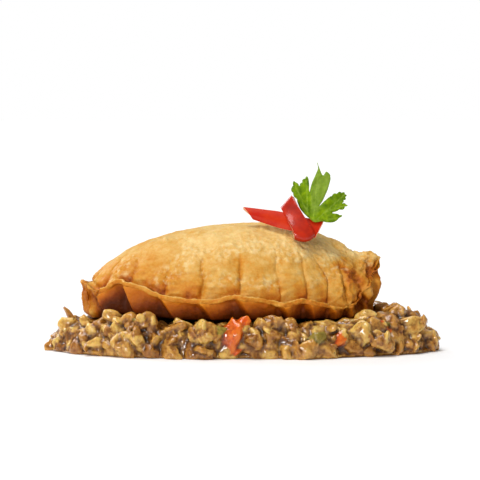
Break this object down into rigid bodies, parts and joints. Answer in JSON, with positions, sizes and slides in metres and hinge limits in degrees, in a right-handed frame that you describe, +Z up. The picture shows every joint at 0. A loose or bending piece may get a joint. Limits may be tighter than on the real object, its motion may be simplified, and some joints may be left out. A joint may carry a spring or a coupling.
{
  "type": "fataya",
  "caption": "Fried half-moon turnover with a crimped rim, laid on a bed of chopped cooked onion relish and garnished with a tied strip of red pepper and a parsley leaf.",
  "frame": {"origin": "on the surface the relish stands on, under the middle of the relish", "axes": "+Z up, +X along the turnover to the right as seen from the front, -Y towards the front, where the crimped rim is"},
  "size_m": [0.1565, 0.0777, 0.0752],
  "materials": {
    "crust": "golden brown fried dough with a slight oil sheen",
    "onion": "wet, translucent cooked onion in a brown sauce",
    "pepper": "glossy raw red pepper with pale cut edges",
    "leaf": "fresh green leaf"
  },
  "bodies": {
    "root": {"turnover": "crust", "relish": "onion", "pepper_strip": "pepper", "parsley": "leaf"}
  },
  "joints": []
}
